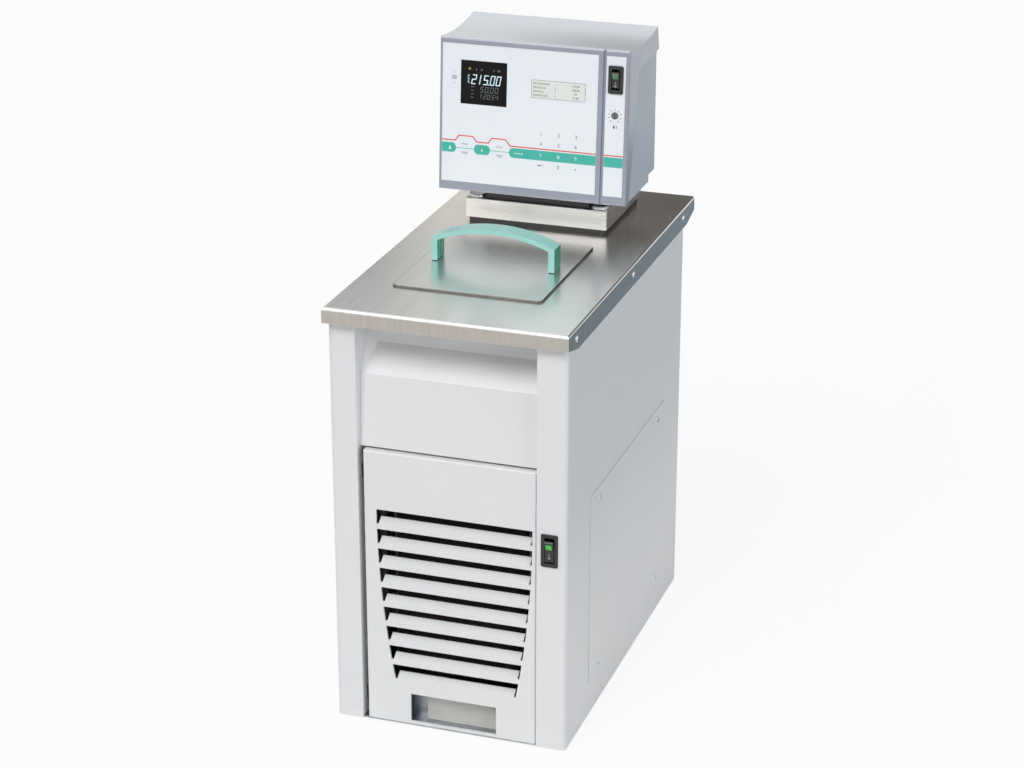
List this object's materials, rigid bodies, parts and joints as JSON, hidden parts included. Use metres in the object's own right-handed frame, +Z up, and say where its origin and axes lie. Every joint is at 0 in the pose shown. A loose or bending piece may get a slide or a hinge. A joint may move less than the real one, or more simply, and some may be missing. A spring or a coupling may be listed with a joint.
{
  "type": "heating and cooling circulator",
  "caption": "Refrigerated heating circulator: louvred steel cabinet, stainless bath plate with a lift-off lid, and a pump head with display and keypad.",
  "frame": {"origin": "on the floor below the middle of the top plate", "axes": "+Z up, the grille and controls face -Y, +X is to the viewer's right"},
  "size_m": [0.2326, 0.42, 0.599],
  "materials": {
    "pale_paint": "pale grey powder coat",
    "stainless": "brushed stainless steel",
    "zinc_sheet": "plain zinc sheet",
    "black_rubber": "matt black",
    "dark_plastic": "matt near-black",
    "black_plastic": "satin black",
    "hood_plastic": "grey with a faint blue tone",
    "casing_plastic": "pale blue-grey",
    "foil": "pale membrane foil",
    "display": "dark display window",
    "handle_green": "translucent-looking sea green",
    "foam": "rigid foam",
    "copper": "bare copper",
    "fins": "plain aluminium fins",
    "steel_black": "black enamel",
    "board": "green circuit board",
    "white_plastic": "white plastic"
  },
  "bodies": {
    "frame": {"cabinet_shell": "pale_paint", "base_pan": "zinc_sheet", "feet": "black_rubber", "kick_cover": "pale_paint", "side_cover": "pale_paint", "side_cover_screws": "stainless", "rear_cover": "pale_paint", "rear_cover_screws": "stainless", "upper_panel": "pale_paint", "grille_clips": "dark_plastic", "cabinet_switch_bezel": "black_plastic", "cabinet_mains_inlet": "black_plastic", "top_plate": "stainless", "plate_screws": "stainless", "bath_tank": "stainless", "tank_foam": "foam", "cooling_coil": "stainless", "base_plinth": "dark_plastic", "base_block": "stainless", "head_neck": "dark_plastic", "clamp_screws": "stainless", "pump_ports": "stainless", "head_hood": "hood_plastic", "head_casing": "casing_plastic", "main_foil": "foil", "strip_foil": "foil", "vfd_window": "display", "lcd_window": "display", "head_switch_bezel": "black_plastic", "dial_unit": "dark_plastic", "head_mains_inlet": "black_plastic", "motor_plate": "zinc_sheet", "pump_motor": "steel_black", "pump_housing": "stainless", "heater_coil": "stainless", "temperature_probe": "stainless", "float_stem": "stainless", "head_board": "board", "condenser": "fins", "fan_shroud": "zinc_sheet", "fan_motor": "steel_black", "fan_bracket": "zinc_sheet", "compressor": "steel_black", "compressor_grommets": "black_rubber", "filter_drier": "copper", "refrigerant_pipes": "copper", "drain_valve": "dark_plastic"},
    "lid_group": {"lid": "stainless", "lid_handle": "handle_green", "handle_washers": "dark_plastic"},
    "grille": {"grille_panel": "pale_paint"},
    "mains_rocker": {"cabinet_rocker": "black_plastic"},
    "head_rocker_key": {"head_rocker": "black_plastic"},
    "cutout_dial": {"overtemperature_dial": "white_plastic"},
    "tap_knob": {"drain_knob": "handle_green"},
    "fan": {"fan_rotor": "dark_plastic"},
    "pump": {"pump_shaft": "stainless"},
    "float": {"level_float": "white_plastic"},
    "cap_left": {"port_cap_left": "dark_plastic"},
    "cap_right": {"port_cap_right": "dark_plastic"}
  },
  "joints": [
    {"name": "lid_lift", "type": "slide", "parent": "frame", "child": "lid_group", "axis": [0, 0, 1], "range_m": [0, 0.08]},
    {"name": "grille_pull", "type": "slide", "parent": "frame", "child": "grille", "axis": [0, -1, 0], "range_m": [0, 0.04]},
    {"name": "mains_rocker_tilt", "type": "hinge", "parent": "frame", "child": "mains_rocker", "pos_m": [0.0965, -0.1976, 0.203], "axis": [1, 0, 0], "range_deg": [-14, 0]},
    {"name": "head_rocker_tilt", "type": "hinge", "parent": "frame", "child": "head_rocker_key", "pos_m": [0.0783, 0.05341, 0.56937], "axis": [1, 0, 0], "range_deg": [-14, 0]},
    {"name": "cutout_dial_turn", "type": "hinge", "parent": "frame", "child": "cutout_dial", "pos_m": [0.0783, 0.04583, 0.5358], "axis": [0, -0.9977, 0.0675], "range_deg": [-150, 120]},
    {"name": "tap_turn", "type": "hinge", "parent": "frame", "child": "tap_knob", "pos_m": [-0.076, -0.174, 0.073], "axis": [0, 1, 0], "range_deg": [0, 90]},
    {"name": "fan_spin", "type": "hinge", "parent": "frame", "child": "fan", "pos_m": [0.006, -0.1325, 0.137], "axis": [0, 1, 0], "continuous": true},
    {"name": "pump_spin", "type": "hinge", "parent": "frame", "child": "pump", "pos_m": [-0.024, 0.092, 0.4496], "axis": [0, 0, 1], "continuous": true},
    {"name": "float_rise", "type": "slide", "parent": "frame", "child": "float", "axis": [0, 0, 1], "range_m": [0, 0.01]},
    {"name": "cap_left_turn", "type": "hinge", "parent": "frame", "child": "cap_left", "pos_m": [-0.032, 0.2, 0.427], "axis": [0, 1, 0], "continuous": true},
    {"name": "cap_right_turn", "type": "hinge", "parent": "frame", "child": "cap_right", "pos_m": [0.024, 0.2, 0.427], "axis": [0, 1, 0], "continuous": true}
  ]
}
